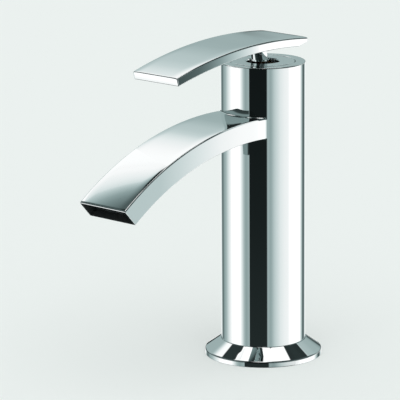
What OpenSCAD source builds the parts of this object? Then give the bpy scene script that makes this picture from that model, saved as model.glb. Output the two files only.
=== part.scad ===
// Single-lever basin mixer: a round upright column on a flared base, with a flat curved spout and a
// flat curved lever above it. The deck is the plane z = 0, the column stands on the Z axis and the
// spout points along -Y. The lever is shown closed. Lengths are in millimetres, angles in degrees.

/* [Column] */
// Outer diameter of the column tube
column_d = 46; // [44:0.5:54]
// Height of the column's flat top above the deck
column_h = 163; // [150:1:210]
// Wall of the column tube
column_wall = 2.5; // [2.2:0.1:3]
// Depth of the inward lip that closes the tube's top
column_lip_h = 5.5; // [5:0.1:5.8]

/* [Base flange] */
// Outer diameter of the flared base
flange_d = 64; // [60:1:80]
// Height of the flared base
flange_h = 9; // [7:0.5:14]
// Height of the upright rim at the foot of the flare
flange_rim_h = 3; // [2:0.1:4]
// Thickness of the ledge that the column tube stands on
flange_ledge_t = 2.5; // [1.8:0.1:3]
// Width of the lip at the top of the flare
flange_lip = 0.5; // [0.3:0.1:1]
// Diameter of the way through the base for hoses and stud
flange_way_d = 35; // [32:0.5:37]
// Mean diameter of the deck gasket
gasket_d = 53; // [52:0.5:54]
// Width of the deck gasket
gasket_w = 4.8; // [4:0.1:5.5]
// Thickness of the deck gasket
gasket_t = 1.5; // [1:0.1:2]

/* [Spout] */
// Width of the spout
spout_w = 33; // [28:0.5:38]
// Reach of the spout's upper edge from the column's axis
spout_reach = 124; // [100:1:140]
// Radius of the spout's upper arc
spout_arc_r = 173; // [160:1:215]
// Radius of the spout's lower arc
spout_under_r = 161; // [150:1:185]
// How far in front of the axis the spout crests
spout_crest = 23; // [18:1:32]
// Depth of the spout's crest below the column's top
spout_below_top = 27; // [25:0.5:28]
// Height of the spout at its crest
spout_t = 11.3; // [10.3:0.1:13.3]
// Angle of the mouth's cut from upright
mouth_angle = 43; // [30:1:50]
// Wall of the spout along its waterway
spout_wall = 2.2; // [1.8:0.1:2.4]
// Wall of the thin lip round the mouth
mouth_lip = 1; // [0.8:0.1:1.4]

/* [Flow straightener] */
// How far the straightener lies behind the mouth's lower edge
straightener_recess = 4.5; // [4:0.5:8]
// Length of the straightener along the flow
straightener_l = 5; // [3:0.5:8]
// Number of cells across the straightener
cells_across = 11; // [6:1:14]
// Number of cells up the straightener
cells_up = 3; // [2:1:4]
// Thickness of the webs between the cells
cell_web = 0.6; // [0.5:0.1:0.9]
// Thickness of the wire screen behind the straightener
screen_t = 0.5; // [0.4:0.1:0.8]
// Thickness of the seal behind the screen
straightener_seal_t = 1.2; // [0.8:0.1:2]

/* [Lever] */
// Width of the lever plate at its back edge
lever_w = 34; // [28:0.5:40]
// Width of the lever plate at its front edge
lever_front_w = 32; // [26:0.5:38]
// Reach of the lever in front of the column's axis
lever_front = 84; // [70:1:110]
// Reach of the lever behind the column's axis
lever_back = 17.5; // [15:0.5:18]
// Radius of the lever's upper arc
lever_arc_r = 259; // [220:1:400]
// Radius of the lever's lower arc
lever_under_r = 263; // [230:1:400]
// How far in front of the axis the lever crests
lever_crest = 12; // [6:1:20]
// Thickness of the lever at its crest
lever_t = 4.9; // [4:0.1:7]
// Gap between the column's top and the lever's crest
lever_gap = 9.2; // [8.8:0.1:12]
// Length of the relief under the lever's back edge
relief_l = 7; // [6:0.5:9]
// Height of the relief at the lever's back edge
relief_h = 2.4; // [2:0.1:2.8]
// Diameter of the round boss under the lever
boss_d = 9.2; // [8.8:0.1:10]
// Diameter of the grub screw in the boss
grub_d = 4; // [3:0.5:4]
// Width across the flats of the grub screw's hexagon socket
grub_hex = 2; // [1.5:0.1:2]

/* [Top cap] */
// Diameter of the cap
cap_d = 34.8; // [34:0.1:36]
// Thickness of the cap's disc
cap_t = 2.4; // [2:0.1:2.8]
// Depth of the skirt under the cap's disc
cap_skirt_h = 4.2; // [3.8:0.1:4.6]
// Wall of the cap's skirt
cap_skirt_t = 2.6; // [2.2:0.1:3]
// Diameter of the hole that the lever's boss moves in
cap_hole_d = 18; // [17:0.5:22]
// Bevel round that hole
cap_bevel = 0.6; // [0.3:0.1:1]

/* [Cartridge] */
// Outer diameter of the cartridge housing
cartridge_d = 28; // [27.6:0.2:29]
// Wall of the cartridge housing
housing_wall = 1.4; // [1.2:0.1:1.5]
// Outer diameter of the housing's clamped collar and of the bore that it sits in
collar_d = 33; // [32.6:0.1:33.4]
// Thickness of the clamped collar
collar_t = 4; // [3.6:0.1:4.5]
// Width of the collar's shelf that the washer and the nut press on
clamp_w = 4; // [3.6:0.1:4.2]
// Thickness of each ceramic disc
disc_t = 4; // [3.4:0.1:4.4]
// Diameter of the moving ceramic disc
moving_disc_d = 18.2; // [17.8:0.1:18.4]
// Diameter of the hot and cold ports
inlet_port_d = 4; // [3:0.1:4.2]
// Diameter of the mixed water port
mixed_port_d = 4.8; // [4:0.1:5]
// Height of the disc carrier's plate
carrier_t = 4; // [3.6:0.1:5]
// Height of the rail on the disc carrier
rail_h = 2.4; // [2:0.1:3]
// Width of the rail on the disc carrier
rail_w = 11.8; // [10:0.2:12.4]
// Thickness of the rotor's lower flange
rotor_flange_t = 5.2; // [4.8:0.1:6]
// Diameter of the rotor's journal
rotor_d = 20; // [19:0.2:20.6]
// Diameter of the rotor's neck
rotor_neck_d = 16.4; // [15.6:0.1:17]
// Diameter of the pivot pin
pin_d = 3; // [2.4:0.1:3.2]
// Side of the spindle's upper square
spindle_sq = 5; // [4.6:0.1:5.4]
// Side of the spindle's block at the pivot
spindle_block = 6; // [5.6:0.1:7]
// Diameter of the spindle's lower arm
spindle_arm_d = 3.4; // [2.8:0.1:3.8]
// Diameter of the ball at the spindle's foot
ball_d = 4.6; // [4:0.1:4.8]
// Height of the retaining nut
nut_h = 7.4; // [6:0.1:7.6]
// Thickness of the washer under the nut
washer_t = 1; // [0.8:0.1:1.2]
// Lean of the spindle towards the spout while closed
closed_lean = 12.5; // [10:0.5:13]
// Swing of the lever to either side, which sets the limit ring's notch
swing = 45; // [30:1:50]

/* [Waterways] */
// Thickness of the floor under the cartridge
seat_floor = 12; // [11:0.5:20]
// Height of the inlet block
block_h = 20; // [18:0.5:30]
// Gap between the ledge and the inlet block
block_gap = 1; // [0.6:0.1:3]
// Spacing of the hot and cold ways
way_spacing = 17; // [15:0.5:18]
// Outer diameter of the riser tubes
riser_d = 8; // [7:0.5:8.5]
// Wall of the riser tubes
riser_wall = 1; // [0.6:0.1:1.5]
// Depth of the sockets that hold the riser tubes
socket_depth = 7; // [6:0.5:8]
// Diameter of the threaded hose inlets, M10
inlet_thread_d = 10; // [8:1:10]
// Depth of the threaded hose inlets
inlet_thread_l = 10; // [8:0.5:10.5]
// Diameter of the threaded hole for the fixing stud, M8
stud_d = 8; // [6:1:10]
// Depth of the threaded hole for the fixing stud
stud_l = 14; // [10:0.5:16]
// How far behind the axis the stud's hole is
stud_back = 11; // [10.5:0.1:12]

/* [Hidden] */
$fn = 96;
fine = 192;

// Clearances
slip = 0.1;        // between still pieces that slide or screw together
run = 0.2;         // between pieces that turn or slide past each other
journal_run = 0.08; // between a journal or pin and its bearing
press = 0.01;      // between a pressed pin or a screw's thread and its hole
ball_run = 0.15;   // between the spindle's ball and the carrier
rock = 0.4;        // between the spindle and what it rocks in
squeeze = 0.02;    // between a rubber ring and what it seals on
sink = 0.3;        // by which a seal stands out of its groove
past = 1;          // by which a cutting shape runs past a face
far = 400;         // longer than the mixer

// Column, cap and collar radii
column_r = column_d / 2;
bore_r = column_r - column_wall;
core_r = bore_r - slip;
collar_r = collar_d / 2;
lip_r = collar_r + slip;
cap_r = cap_d / 2;
cap_seat_r = cap_r + slip;
housing_neck_d = collar_d - 2 * clamp_w;

// Heights down from the column's top
cap_z = column_h - cap_t;
lip_z = column_h - column_lip_h;
skirt_z = cap_z - cap_skirt_h;

// Heights up from the seat's face, and the seat's face itself
base_collar_t = 3.7;
base_spigot_h = 1.9;
neck_h = 3;
pivot_rise = 1;
shoulder_t = 1;
ball_rise = 0.1;
limit_h = 3;
base_foot = sink;
base_collar = base_foot + base_collar_t;
base_top = base_collar + base_spigot_h;
fixed_z = base_top + sink;
moving_z = fixed_z + disc_t + squeeze;
carrier_z = moving_z + disc_t;
rail_z = carrier_z + carrier_t;
rotor_z = rail_z + run;
groove_top = rail_z + rail_h + 2 * run;
shoulder_z = rotor_z + rotor_flange_t + run;
collar_z = shoulder_z + shoulder_t;
collar_top = collar_z + collar_t;
washer_z = collar_top;
nut_z = washer_z + washer_t;
neck_top = collar_top + neck_h;
pivot_up = neck_top + pivot_rise;
nut_top = nut_z + nut_h;
stack_h = nut_top + run;
seat_z = skirt_z - stack_h;
pivot_z = seat_z + pivot_up;

// Cartridge radii
cartridge_r = cartridge_d / 2;
chamber_r = cartridge_r - housing_wall;
spigot_r = chamber_r - slip;
arm_l = pivot_up - rail_z - ball_rise;
disc_shift = arm_l * sin(closed_lean);
slot_half = (pivot_up - rotor_z) * tan(closed_lean) + spindle_arm_d / 2 / cos(closed_lean) + rock;
rotor_neck_h = 4.5;
rail_l = 14;
stop_w = 4;
pin_inset = 0.6;
block_extra = 0.8;
key_w = 3;
key_d = 1.2;
key_h = 2.4;
lug_w = 2.4;
lug_d = 1.2;
lug_h = 2.6;

// Ports in the base and the fixed disc
inlet_x = 4;
inlet_y = -2.5;
mixed_y = 4.6;
mixed_floor = 1.5;
mixed_way_h = 2;
inlet_pocket_r = 2.8;
outlet_pocket_r = 2.2;
pocket_neck_w = 3.8;
pocket_l = 6.2;
port_seal_r = 0.83;
disc_seal_r = 0.55;
peg_d = 2.8;
peg_l = 2.5;
peg_room = 0.5;
peg_x = 9.5;
peg_y = 6;

// Waterways, up from the deck
block_z = flange_ledge_t + block_gap;
block_top = block_z + block_h;
way_x = way_spacing / 2;
seat_foot = seat_z - seat_floor;
riser_foot = block_top - socket_depth;
riser_mouth = 2;
riser_top = seat_foot + socket_depth - riser_mouth;
socket_r = riser_d / 2 + slip;
riser_ring_r = 0.55;
riser_groove_w = 2.2;
block_groove_z = block_top - socket_depth / 2 - riser_groove_w / 2;
seat_groove_z = seat_foot + socket_depth / 2 - riser_groove_w / 2;

// Rubber rings and their grooves
ring_r = 0.8;
groove_w = 2.2;
block_ring_drop = 5;
block_ring_z = block_top - block_ring_drop;
cap_ring_r = 0.6;
cap_ring_z = (lip_z + cap_z) / 2;
cap_groove_w = 1.5;

// Spout: s runs forward from the axis and z upwards, in the drawing plane
spout_top_z = column_h - spout_below_top;
spout_top_c = [spout_crest, spout_top_z - spout_arc_r];
spout_low_c = [spout_crest, spout_top_z - spout_t - spout_under_r];
tip = [spout_reach, spout_top_c[1] + sqrt(pow(spout_arc_r, 2) - pow(spout_reach - spout_crest, 2))];
cut_dir = [-sin(mouth_angle), -cos(mouth_angle)];
heel = tip + cut_dir * reach_circle(tip, cut_dir, spout_low_c, spout_under_r, -1);
flow_angle = asin((heel[0] - spout_low_c[0]) / spout_under_r);
flow_up = [sin(flow_angle), cos(flow_angle)];
mouth_t = reach_circle(heel, flow_up, spout_top_c, spout_arc_r, 1);
window_inset = 4.5;
window_up = 4.3;
window_rim = 1;
window_z = spout_top_z - spout_t + window_up;
tongue_side = 1.5;
tongue_wall = 1.3;
tongue_in = 9;
root_wall = 2;
window_w = spout_w - 2 * window_inset;
window_h = 2 * (window_up - window_rim);
way_w = window_w - 2 * tongue_side;
way_h = window_h - 2 * tongue_wall;
seat_ring_z = [window_z - window_h / 2 - groove_w, window_z + window_h / 2 + groove_w];
insert_rim = 0.9;
seal_rim = 1.2;
wires_across = 18;
wires_up = 4;
wire_d = 0.4;
recess_l = straightener_recess + straightener_l + screen_t + straightener_seal_t + slip;

// Lever
lever_under_z = column_h + lever_gap;
lever_top_c = [lever_crest, lever_under_z + lever_t - lever_arc_r];
lever_low_c = [lever_crest, lever_under_z - lever_under_r];
relief_s = relief_l - lever_back;
boss_foot = 7.5;
socket_roof = 0.3;
grub_above = 5.5;
grub_depth = 1;
boss_top = (lever_under_z + lever_t / 2 - pivot_z) / cos(closed_lean);
socket_top = (lever_under_z - socket_roof - pivot_z) / cos(closed_lean);
spindle_top = socket_top - rock;
grub_up = (column_h + grub_above - pivot_z) / cos(closed_lean);

// Distance from p along unit direction d to the circle round c, at its near (-1) or far (1) side
function reach_circle(p, d, c, r, side) =
    let (w = p - c, b = w * d) -b + side * sqrt(b * b - (w * w - r * r));

// Height of the lever's underside at a distance in front of the axis
function under_z(s) = lever_low_c[1] + sqrt(pow(lever_under_r, 2) - pow(s - lever_crest, 2));

// Half the lever's width at a distance in front of the axis
function lever_half_w(s) =
    (lever_w + (lever_front_w - lever_w) * (s + lever_back) / (lever_front + lever_back)) / 2;

// Stands a drawing of (s, z) upright, with s along -Y, and gives it a width across X
module upright(width) {
    rotate([90, 0, -90]) linear_extrude(height = width, center = true) children();
}

// Leans a piece that is drawn round the pivot as the spindle leans while closed
module leaned() {
    translate([0, 0, pivot_z]) rotate([closed_lean, 0, 0]) children();
}

module tube(r_out, r_in, h) {
    difference() {
        cylinder(r = r_out, h = h);
        translate([0, 0, -past]) cylinder(r = r_in, h = h + 2 * past);
    }
}

module rubber_ring(mean_r, section_r) {
    rotate_extrude() translate([mean_r, 0]) circle(r = section_r);
}

// A groove cut round a cylinder, from its surface to groove_r
module ring_groove(surface_r, groove_r, width) {
    translate([0, 0, -width / 2]) tube(surface_r + past, groove_r, width);
}

// A box across X, between two distances in front of the axis and two heights
module front_box(width, s0, s1, z0, z1) {
    translate([-width / 2, -s1, z0]) cube([width, s1 - s0, z1 - z0]);
}

// The band between the spout's two arcs, drawn in by a wall on each side
module spout_band(wall) {
    difference() {
        translate(spout_top_c) circle(r = spout_arc_r - wall, $fn = fine);
        translate(spout_low_c) circle(r = spout_under_r + wall, $fn = fine);
        translate([-far, -far]) square([far, 2 * far]);
        translate([-past, -far]) square([2 * far, far - past]);
    }
}

// The stretch of the spout between two distances along the flow, measured from the mouth's heel
module flow_slab(from, to) {
    translate(heel) rotate(-flow_angle) translate([from, -far / 2]) square([to - from, far]);
}

module mouth_cut() {
    translate(tip) rotate(-mouth_angle) translate([0, -far / 2]) square([far, far]);
}

module column_shell() color("gainsboro") {
    top_bevel = 0.4;
    difference() {
        rotate_extrude() polygon([
            [bore_r, flange_ledge_t], [column_r, flange_ledge_t], [column_r, column_h - top_bevel],
            [column_r - top_bevel, column_h], [cap_seat_r, column_h], [cap_seat_r, cap_z],
            [lip_r, cap_z], [lip_r, lip_z], [bore_r, lip_z]]);
        front_box(window_w + 2 * slip, bore_r - tongue_in, column_r + past,
                  window_z - window_h / 2 - slip, window_z + window_h / 2 + slip);
    }
}

module base_flange() color("gainsboro") {
    foot_bevel = 0.3;
    rim_r = flange_d / 2;
    groove_in = (gasket_d - gasket_w) / 2 - slip;
    groove_out = (gasket_d + gasket_w) / 2 + slip;
    way_r = flange_way_d / 2;
    seat_r = column_r + slip;
    rotate_extrude() polygon([
        [way_r, 0], [groove_in, 0], [groove_in, gasket_t], [groove_out, gasket_t], [groove_out, 0],
        [rim_r - foot_bevel, 0], [rim_r, foot_bevel], [rim_r, flange_rim_h],
        [seat_r + flange_lip, flange_h], [seat_r, flange_h], [seat_r, flange_ledge_t],
        [way_r, flange_ledge_t]]);
}

module deck_gasket() color("dimgray")
    tube((gasket_d + gasket_w) / 2, (gasket_d - gasket_w) / 2, gasket_t);

module spout_shell() color("gainsboro") difference() {
    union() {
        difference() {
            upright(spout_w) difference() {
                spout_band(0);
                mouth_cut();
            }
            translate([0, 0, -past]) cylinder(r = column_r, h = column_h);
        }
        difference() {
            front_box(window_w, bore_r - tongue_in, column_r + root_wall,
                      window_z - window_h / 2, window_z + window_h / 2);
            cylinder(r = bore_r, h = column_h);
        }
    }
    difference() {
        upright(spout_w - 2 * spout_wall) spout_band(spout_wall);
        cylinder(r = column_r + root_wall, h = column_h);
    }
    front_box(way_w, bore_r - tongue_in - past, column_r + 2 * root_wall,
              window_z - way_h / 2, window_z + way_h / 2);
    upright(spout_w - 2 * mouth_lip) intersection() {
        spout_band(mouth_lip);
        flow_slab(-recess_l, 2 * spout_t);
    }
}

// A plate that fills the mouth's pocket between two distances along the flow
module pocket_plate(from, to) {
    upright(spout_w - 2 * mouth_lip - 2 * slip) intersection() {
        spout_band(mouth_lip + slip);
        flow_slab(from, to);
    }
}

// A grid of square holes along the flow, centred on the pocket
module flow_holes(across, up, web, rim, from, to) {
    wide = spout_w - 2 * (mouth_lip + slip + rim);
    high = mouth_t - 2 * (mouth_lip + slip + rim);
    pitch_x = (wide + web) / across;
    pitch_z = (high + web) / up;
    middle = heel + flow_up * (mouth_t / 2);
    translate([0, -middle[0], middle[1]]) rotate([flow_angle, 0, 0])
        for (i = [0 : across - 1], j = [0 : up - 1])
            translate([-wide / 2 + i * pitch_x, -to - past, -high / 2 + j * pitch_z])
                cube([pitch_x - web, to - from + 2 * past, pitch_z - web]);
}

module flow_straightener() color("darkslategray") difference() {
    front = -straightener_recess;
    pocket_plate(front - straightener_l, front);
    flow_holes(cells_across, cells_up, cell_web, insert_rim, front - straightener_l, front);
}

module straightener_screen() color("silver") difference() {
    front = -straightener_recess - straightener_l;
    pocket_plate(front - screen_t, front);
    flow_holes(wires_across, wires_up, wire_d, insert_rim, front - screen_t, front);
}

module straightener_seal() color("dimgray") difference() {
    front = -straightener_recess - straightener_l - screen_t;
    pocket_plate(front - straightener_seal_t, front);
    flow_holes(1, 1, 0, seal_rim, front - straightener_seal_t, front);
}

module cartridge_seat() color("goldenrod") difference() {
    translate([0, 0, seat_foot]) cylinder(r = core_r, h = lip_z - seat_foot);
    translate([0, 0, seat_z]) cylinder(r = collar_r + slip, h = far);
    front_box(way_w, 0, column_r, window_z - way_h / 2, window_z + way_h / 2);
    for (side = [-1, 1]) {
        translate([side * inlet_x, inlet_y, riser_top]) cylinder(d = inlet_port_d, h = far);
        translate([side * way_x, 0, seat_foot - past]) cylinder(r = socket_r, h = socket_depth + past);
        translate([side * way_x, 0, seat_groove_z]) riser_groove();
        translate([side * peg_x, peg_y, seat_z - peg_l - peg_room])
            cylinder(d = peg_d + 2 * slip, h = far);
    }
    for (z = seat_ring_z) translate([0, 0, z]) ring_groove(core_r, bore_r - 2 * ring_r, groove_w);
}

module seat_o_rings() color("dimgray") for (z = seat_ring_z) translate([0, 0, z])
    rubber_ring(bore_r - ring_r, ring_r - squeeze);

// The groove for a riser tube's ring, cut round its socket
module riser_groove() cylinder(r = riser_d / 2 + 2 * riser_ring_r, h = riser_groove_w);

module inlet_block() color("goldenrod") difference() {
    translate([0, 0, block_z]) cylinder(r = core_r, h = block_h);
    for (side = [-1, 1]) translate([side * way_x, 0, 0]) {
        translate([0, 0, -past]) cylinder(d = inlet_thread_d, h = block_z + inlet_thread_l + past);
        cylinder(d = riser_d - 2 * riser_wall, h = far);
        translate([0, 0, riser_foot]) cylinder(r = socket_r, h = far);
        translate([0, 0, block_groove_z]) riser_groove();
    }
    translate([0, stud_back, -past]) cylinder(d = stud_d, h = block_z + stud_l + past);
    translate([0, 0, block_ring_z]) ring_groove(core_r, bore_r - 2 * ring_r, groove_w);
}

module inlet_block_o_ring() color("dimgray") translate([0, 0, block_ring_z])
    rubber_ring(bore_r - ring_r, ring_r - squeeze);

module riser_tube(side) color("peru") translate([side * way_x, 0, riser_foot + slip])
    tube(riser_d / 2, riser_d / 2 - riser_wall, riser_top - riser_foot - 2 * slip);

module hot_riser_tube() riser_tube(-1);

module cold_riser_tube() riser_tube(1);

module riser_o_rings() color("dimgray")
    for (side = [-1, 1], z = [block_groove_z, seat_groove_z])
        translate([side * way_x, 0, z + riser_groove_w / 2])
            rubber_ring(riser_d / 2 + riser_ring_r, riser_ring_r - squeeze);

// The three ports, as round columns of a given height
module ports(grow, h) {
    for (side = [-1, 1]) translate([side * inlet_x, inlet_y, 0])
        cylinder(d = inlet_port_d + 2 * grow, h = h);
    translate([0, mixed_y, 0]) cylinder(d = mixed_port_d + 2 * grow, h = h);
}

// Two keys on the base's rim that stop the fixed disc from turning
module disc_keys(grow, h) {
    for (side = [-1, 1]) translate([side * (spigot_r - key_d / 2 - grow / 2), 0, h / 2])
        cube([key_d + grow, key_w + 2 * grow, h], center = true);
}

module cartridge_base() color("whitesmoke") translate([0, 0, seat_z]) difference() {
    union() {
        translate([0, 0, base_foot]) cylinder(r = cartridge_r, h = base_collar - base_foot);
        translate([0, 0, base_foot]) cylinder(r = spigot_r, h = base_top - base_foot);
        translate([0, 0, base_top - past]) intersection() {
            disc_keys(0, past + sink + key_h);
            cylinder(r = spigot_r, h = far);
        }
        for (side = [-1, 1]) translate([side * peg_x, peg_y, base_foot - peg_l])
            cylinder(d = peg_d, h = peg_l + past);
    }
    for (side = [-1, 1]) translate([side * inlet_x, inlet_y, 0]) {
        cylinder(d = inlet_port_d, h = far);
        cylinder(r = inlet_port_d / 2 + 2 * port_seal_r, h = 2 * port_seal_r);
    }
    translate([0, mixed_y, base_foot + mixed_floor]) {
        cylinder(d = mixed_port_d, h = far);
        translate([-mixed_port_d / 2, 0, 0]) cube([mixed_port_d, far, mixed_way_h]);
    }
    translate([0, 0, fixed_z - 2 * disc_seal_r]) ports(2 * disc_seal_r, far);
}

module port_seals() color("dimgray") for (side = [-1, 1])
    translate([side * inlet_x, inlet_y, seat_z + port_seal_r])
        rubber_ring(inlet_port_d / 2 + port_seal_r, port_seal_r - squeeze);

module disc_seals() color("dimgray") translate([0, 0, seat_z + fixed_z - disc_seal_r]) {
    for (side = [-1, 1]) translate([side * inlet_x, inlet_y, 0])
        rubber_ring(inlet_port_d / 2 + disc_seal_r, disc_seal_r - squeeze);
    translate([0, mixed_y, 0])
        rubber_ring(mixed_port_d / 2 + disc_seal_r, disc_seal_r - squeeze);
}

module fixed_ceramic_disc() color("ivory") translate([0, 0, seat_z + fixed_z]) difference() {
    cylinder(r = spigot_r, h = disc_t);
    translate([0, 0, -past]) ports(0, far);
    translate([0, 0, -past]) disc_keys(2 * slip, past + key_h + run);
}

// Two lugs of the carrier that drive the moving disc
module carrier_lugs(grow, h) {
    for (side = [-1, 1]) translate([side * (moving_disc_d / 2 - lug_d / 2), 0, h / 2])
        cube([lug_d + 2 * grow, lug_w + 2 * grow, h], center = true);
}

// The hollow under the moving disc: its front joins the inlets and its back lies over the mixed port
module mixing_pocket() {
    circle(r = inlet_pocket_r);
    translate([0, pocket_l]) circle(r = outlet_pocket_r);
    translate([-pocket_neck_w / 2, 0]) square([pocket_neck_w, pocket_l]);
}

module moving_ceramic_disc() color("linen")
    translate([0, disc_shift, seat_z + moving_z]) difference() {
        cylinder(d = moving_disc_d, h = disc_t);
        translate([0, 0, -past]) linear_extrude(height = past + disc_t / 2) mixing_pocket();
        translate([0, 0, disc_t - lug_h - slip]) carrier_lugs(slip, far);
    }

module disc_carrier() color("lightsteelblue") translate([0, disc_shift, seat_z]) difference() {
    union() {
        translate([0, 0, carrier_z]) cylinder(d = moving_disc_d, h = carrier_t);
        translate([-rail_w / 2, -rail_l / 2, rail_z - past]) cube([rail_w, rail_l, rail_h + past]);
        translate([0, 0, carrier_z - lug_h]) intersection() {
            carrier_lugs(0, lug_h + past);
            cylinder(d = moving_disc_d, h = far);
        }
    }
    ball_room = ball_d / 2 + ball_run;
    translate([-ball_room, -ball_room, rail_z - ball_room]) cube([2 * ball_room, 2 * ball_room, far]);
}

module cartridge_housing() color("whitesmoke") translate([0, 0, seat_z]) difference() {
    union() {
        translate([0, 0, base_collar]) cylinder(r = cartridge_r, h = collar_z - base_collar + past);
        translate([0, 0, collar_z]) cylinder(r = collar_r - slip, h = collar_t);
        translate([0, 0, collar_z]) cylinder(d = housing_neck_d, h = neck_top - collar_z);
    }
    translate([0, 0, -past]) cylinder(r = chamber_r, h = shoulder_z + past);
    cylinder(r = rotor_d / 2 + journal_run, h = far);
    translate([0, 0, collar_z + collar_t / 2])
        ring_groove(collar_r, collar_r + slip - 2 * ring_r, groove_w);
}

module cartridge_o_ring() color("dimgray") translate([0, 0, seat_z + collar_z + collar_t / 2])
    rubber_ring(collar_r + slip - ring_r, ring_r - squeeze);

module spindle_rotor() color("lightslategray") difference() {
    lug_r = rotor_d / 2 - run;
    union() {
        translate([0, 0, seat_z + rotor_z]) cylinder(r = chamber_r - run, h = rotor_flange_t);
        translate([0, 0, seat_z + rotor_z]) cylinder(d = rotor_d, h = neck_top - rotor_z);
        translate([0, 0, seat_z + neck_top]) cylinder(d = rotor_neck_d, h = rotor_neck_h);
        translate([0, 0, seat_z + neck_top - past]) intersection() {
            cylinder(r = lug_r, h = past + limit_h - run);
            translate([-stop_w / 2, 0, 0]) cube([stop_w, lug_r, limit_h * 2]);
        }
    }
    translate([-rail_w / 2 - run, -far, seat_z]) cube([rail_w + 2 * run, 2 * far, groove_top]);
    slot_w = spindle_block + 2 * run;
    translate([-slot_w / 2, -slot_half, seat_z]) cube([slot_w, 2 * slot_half, far]);
    translate([0, 0, pivot_z]) rotate([0, 90, 0]) cylinder(d = pin_d + 2 * press, h = far, center = true);
}

module pivot_pin() color("silver") translate([0, 0, pivot_z]) rotate([0, 90, 0])
    cylinder(d = pin_d, h = rotor_neck_d - 2 * pin_inset, center = true);

module spindle() color("goldenrod") leaned() difference() {
    union() {
        translate([0, 0, -arm_l]) sphere(d = ball_d);
        translate([0, 0, -arm_l]) cylinder(d = spindle_arm_d, h = arm_l);
        cube([spindle_block, spindle_block, spindle_block + 2 * block_extra], center = true);
        translate([-spindle_sq / 2, -spindle_sq / 2, 0]) cube([spindle_sq, spindle_sq, spindle_top]);
    }
    rotate([0, 90, 0]) cylinder(d = pin_d + 2 * journal_run, h = far, center = true);
    translate([0, grub_depth, grub_up]) rotate([-90, 0, 0]) cylinder(d = grub_d + 2 * slip, h = far);
}

module thrust_washer() color("peru") translate([0, 0, seat_z + washer_z])
    tube(collar_r - slip, housing_neck_d / 2 + slip, washer_t);

module retaining_nut() color("goldenrod") translate([0, 0, seat_z + nut_z]) difference() {
    slot_w = 4;
    slot_d = 3;
    tube(collar_r, housing_neck_d / 2 + slip, nut_h);
    for (turn = [0, 90]) rotate(turn) translate([-far / 2, -slot_w / 2, nut_h - slot_d])
        cube([far, slot_w, slot_d + past]);
}

// The notch in the limit ring spans the swing to both sides of the rotor's lug, and a few degrees more
module limit_ring() color("firebrick") translate([0, 0, seat_z + neck_top]) difference() {
    notch_r = rotor_d / 2 + run;
    end_play = 2;
    half = swing + asin(stop_w / rotor_neck_d) + end_play;
    cylinder(d = housing_neck_d, h = limit_h);
    translate([0, 0, -past]) cylinder(d = rotor_neck_d + 2 * run, h = far);
    translate([0, 0, -past]) intersection() {
        cylinder(r = notch_r, h = far);
        linear_extrude(height = far) polygon([[0, 0], [far * sin(half), far * cos(half)],
            [far * sin(half), far], [-far * sin(half), far], [-far * sin(half), far * cos(half)]]);
    }
}

module top_cap() color("gainsboro") difference() {
    skirt_r = lip_r - slip;
    rotate_extrude() polygon([
        [cap_hole_d / 2, cap_z], [skirt_r - cap_skirt_t, cap_z], [skirt_r - cap_skirt_t, skirt_z],
        [skirt_r, skirt_z], [skirt_r, cap_z], [cap_r, cap_z], [cap_r, column_h],
        [cap_hole_d / 2 + cap_bevel, column_h], [cap_hole_d / 2, column_h - cap_bevel]]);
    translate([0, 0, cap_ring_z]) ring_groove(skirt_r, lip_r - 2 * cap_ring_r, cap_groove_w);
}

module cap_o_ring() color("dimgray") translate([0, 0, cap_ring_z])
    rubber_ring(lip_r - cap_ring_r, cap_ring_r - squeeze);

module lever_profile() difference() {
    back_low = under_z(-lever_back);
    relief_low = under_z(relief_s);
    relief_slope = (back_low + relief_h - relief_low) / relief_l;
    front_drop = asin((lever_front - lever_crest) / lever_arc_r);
    front_top = lever_top_c[1] + sqrt(pow(lever_arc_r, 2) - pow(lever_front - lever_crest, 2));
    translate(lever_top_c) circle(r = lever_arc_r, $fn = fine);
    translate(lever_low_c) circle(r = lever_under_r, $fn = fine);
    translate([-far - lever_back, -far]) square([far, 2 * far]);
    translate([lever_front, front_top]) rotate(-front_drop) translate([0, -far]) square([far, 2 * far]);
    translate([-far, -far]) square([2 * far, far + column_h / 2]);
    polygon([[-lever_back - past, relief_low + relief_slope * (relief_l + past)],
             [relief_s, relief_low], [relief_s, back_low - past], [-lever_back - past, back_low - past]]);
}

module lever_plan() linear_extrude(height = far)
    polygon([for (corner = [[-1, -1], [1, -1], [1, 1], [-1, 1]])
        let (s = corner[1] < 0 ? -lever_back - past : lever_front + past)
            [corner[0] * lever_half_w(s), -s]]);

module lever_handle() color("gainsboro") difference() {
    union() {
        intersection() {
            upright(2 * lever_w) lever_profile();
            lever_plan();
        }
        leaned() translate([0, 0, boss_foot]) cylinder(d = boss_d, h = boss_top - boss_foot);
    }
    leaned() {
        side = spindle_sq + slip;
        translate([-side / 2, -side / 2, 0]) cube([side, side, socket_top]);
        translate([0, 0, grub_up]) rotate([-90, 0, 0]) cylinder(d = grub_d, h = boss_d);
    }
}

module lever_grub_screw() color("silver") leaned() translate([0, grub_depth + slip, grub_up])
    rotate([-90, 0, 0]) difference() {
        length = boss_d / 2 - grub_depth - 2 * slip;
        cylinder(d = grub_d - 2 * press, h = length);
        translate([0, 0, length / 2]) cylinder(d = grub_hex / cos(180 / 6), h = far, $fn = 6);
    }

column_shell();
base_flange();
deck_gasket();
spout_shell();
flow_straightener();
straightener_screen();
straightener_seal();
cartridge_seat();
seat_o_rings();
inlet_block();
inlet_block_o_ring();
hot_riser_tube();
cold_riser_tube();
riser_o_rings();
cartridge_base();
port_seals();
disc_seals();
fixed_ceramic_disc();
moving_ceramic_disc();
disc_carrier();
cartridge_housing();
cartridge_o_ring();
spindle_rotor();
pivot_pin();
spindle();
thrust_washer();
retaining_nut();
limit_ring();
top_cap();
cap_o_ring();
lever_handle();
lever_grub_screw();
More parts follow.
